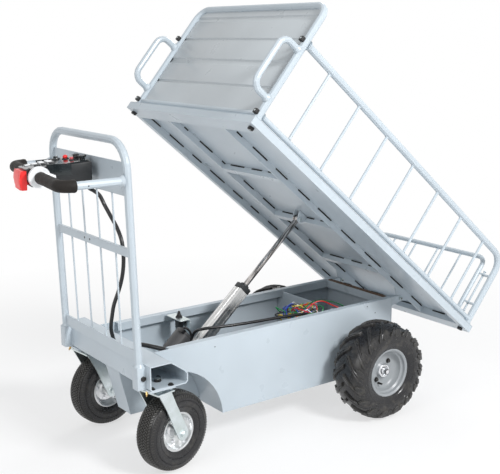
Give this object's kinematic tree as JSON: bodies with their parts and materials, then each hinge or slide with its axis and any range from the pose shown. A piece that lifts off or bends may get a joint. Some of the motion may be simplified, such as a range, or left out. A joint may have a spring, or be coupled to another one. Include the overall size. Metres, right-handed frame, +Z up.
{
  "type": "electric tipping platform cart",
  "caption": "Powered platform cart with a tipping deck, headboard, side guard, rear gate, caster front wheels, driven rear wheels and a handle with a control bar.",
  "frame": {"origin": "on the floor, under the middle of the whole cart's bounding box", "axes": "+X from the handle end to the dumping end, +Y to the operator's left, +Z up; the deck is stored tipped by 40 degrees"},
  "size_m": [1.8352, 0.78, 1.5002],
  "materials": {
    "aluminium": "satin",
    "black_plastic": "matte",
    "chrome_rod": "polished",
    "dark_steel": "satin",
    "grip_rubber": "matte",
    "painted_steel": "satin",
    "red_plastic": "gloss",
    "tyre_rubber": "matte",
    "zinc_plate": "satin"
  },
  "bodies": {
    "chassis": {"actuator_bracket": "zinc_plate", "battery_left": "black_plastic", "battery_right": "black_plastic", "control_bar": "painted_steel", "control_cable": "tyre_rubber", "drive_axle": "dark_steel", "drive_motor": "aluminium", "front_channel": "painted_steel", "grip_left": "grip_rubber", "grip_right": "grip_rubber", "handle_frame": "painted_steel", "handle_infill": "painted_steel", "handle_lower_bar": "painted_steel", "handle_plate": "painted_steel", "head_clamp_right": "zinc_plate", "head_housing": "black_plastic", "head_panel": "black_plastic", "hinge_pin_left": "zinc_plate", "hinge_pin_right": "zinc_plate", "motor_controller": "aluminium", "post_sleeve_left": "painted_steel", "post_sleeve_right": "painted_steel", "switch_post": "zinc_plate", "tub_floor": "painted_steel", "tub_keel": "painted_steel", "tub_partition": "painted_steel", "tub_rear_wall": "painted_steel", "tub_side_left": "painted_steel", "tub_side_right": "painted_steel", "wire_harness": "black_plastic"},
    "deck": {"deck_sheet": "painted_steel", "deck_underframe": "painted_steel", "headboard_tube": "painted_steel", "headboard_panel": "painted_steel", "headboard_handle_right": "painted_steel", "headboard_handle_left": "painted_steel", "side_guard": "painted_steel", "clevis_pin": "zinc_plate"},
    "gate": {"rear_gate": "painted_steel"},
    "ram": {"actuator_rod": "chrome_rod"},
    "actuator": {"actuator_tube": "aluminium", "actuator_motor": "dark_steel", "actuator_gearbox": "dark_steel"},
    "caster_right": {"caster_fork_right": "zinc_plate"},
    "caster_left": {"caster_fork_left": "zinc_plate"},
    "caster_wheel_right": {"caster_rim_right": "painted_steel", "caster_tyre_right": "tyre_rubber"},
    "caster_wheel_left": {"caster_rim_left": "painted_steel", "caster_tyre_left": "tyre_rubber"},
    "rear_wheel_right": {"rear_rim_right": "painted_steel", "rear_tyre_right": "tyre_rubber"},
    "rear_wheel_left": {"rear_rim_left": "painted_steel", "rear_tyre_left": "tyre_rubber"},
    "reverse_switch": {"reverse_pad": "red_plastic"},
    "stop": {"stop_button": "red_plastic"},
    "horn": {"horn_button": "red_plastic"},
    "drive_switch": {"drive_rocker": "black_plastic"},
    "speed_dial": {"speed_knob": "black_plastic"},
    "key": {"key_switch": "dark_steel"},
    "tilt_control": {"tilt_switch": "black_plastic"}
  },
  "joints": [
    {"name": "deck_tilt", "type": "hinge", "parent": "chassis", "child": "deck", "pos_m": [0.54995, 0, 0.3815], "axis": [0, 1, 0], "range_deg": [-40, 0]},
    {"name": "ram_pivot", "type": "hinge", "parent": "deck", "child": "ram", "pos_m": [0.17482, 0, 0.7165], "axis": [0, 1, 0], "range_deg": [0, 59.66]},
    {"name": "actuator_stroke", "type": "slide", "parent": "ram", "child": "actuator", "axis": [0.7474, 0, 0.6644], "range_m": [0, 0.2812]},
    {"name": "gate_swing", "type": "hinge", "parent": "deck", "child": "gate", "pos_m": [0.82026, -0.33, 0.41381], "axis": [-0.6428, 0, -0.766], "range_deg": [0, 45]},
    {"name": "caster_swivel_right", "type": "hinge", "parent": "chassis", "child": "caster_right", "pos_m": [-0.59075, -0.24, 0.3], "axis": [0, 0, 1], "continuous": true},
    {"name": "caster_swivel_left", "type": "hinge", "parent": "chassis", "child": "caster_left", "pos_m": [-0.59075, 0.24, 0.3], "axis": [0, 0, 1], "continuous": true},
    {"name": "caster_spin_right", "type": "hinge", "parent": "caster_right", "child": "caster_wheel_right", "pos_m": [-0.53389, -0.22854, 0.1335], "axis": [-0.1977, 0.9803, 0], "continuous": true},
    {"name": "caster_spin_left", "type": "hinge", "parent": "caster_left", "child": "caster_wheel_left", "pos_m": [-0.53307, 0.24606, 0.1335], "axis": [-0.1045, 0.9945, 0], "continuous": true},
    {"name": "rear_spin_right", "type": "hinge", "parent": "chassis", "child": "rear_wheel_right", "pos_m": [0.31225, -0.311, 0.1815], "axis": [0, 1, 0], "continuous": true},
    {"name": "rear_spin_left", "type": "hinge", "parent": "chassis", "child": "rear_wheel_left", "pos_m": [0.31225, 0.311, 0.1815], "axis": [0, 1, 0], "continuous": true},
    {"name": "reverse_press", "type": "slide", "parent": "chassis", "child": "reverse_switch", "axis": [0.9912, -0.1323, 0], "range_m": [0, 0.006], "stiffness_N_per_m": 800},
    {"name": "stop_press", "type": "slide", "parent": "chassis", "child": "stop", "axis": [0.108, -0.0144, -0.994], "range_m": [0, 0.0035], "stiffness_N_per_m": 600},
    {"name": "horn_press", "type": "slide", "parent": "chassis", "child": "horn", "axis": [0.108, -0.0144, -0.994], "range_m": [0, 0.003], "stiffness_N_per_m": 400},
    {"name": "drive_rock", "type": "hinge", "parent": "chassis", "child": "drive_switch", "pos_m": [-0.72248, -0.03629, 1.0291], "axis": [0.1323, 0.9912, 0], "range_deg": [-12, 12], "stiffness_Nm_per_rad": 0.2},
    {"name": "speed_turn", "type": "hinge", "parent": "chassis", "child": "speed_dial", "pos_m": [-0.719, 0.01369, 1.02121], "axis": [-0.108, 0.0144, 0.994], "range_deg": [-135, 135]},
    {"name": "key_turn", "type": "hinge", "parent": "chassis", "child": "key", "pos_m": [-0.77093, 0.05291, 1.015], "axis": [-0.108, 0.0144, 0.994], "range_deg": [0, 90]},
    {"name": "tilt_select", "type": "hinge", "parent": "chassis", "child": "tilt_control", "pos_m": [-0.29575, 0.102, 0.3918], "axis": [0, 0, 1], "range_deg": [-45, 45]}
  ],
  "couplings": [
    {"joint": "ram_pivot", "follows": "deck_tilt", "ratio": -1.4901},
    {"joint": "actuator_stroke", "follows": "deck_tilt", "m_per_rad": -0.40253}
  ]
}
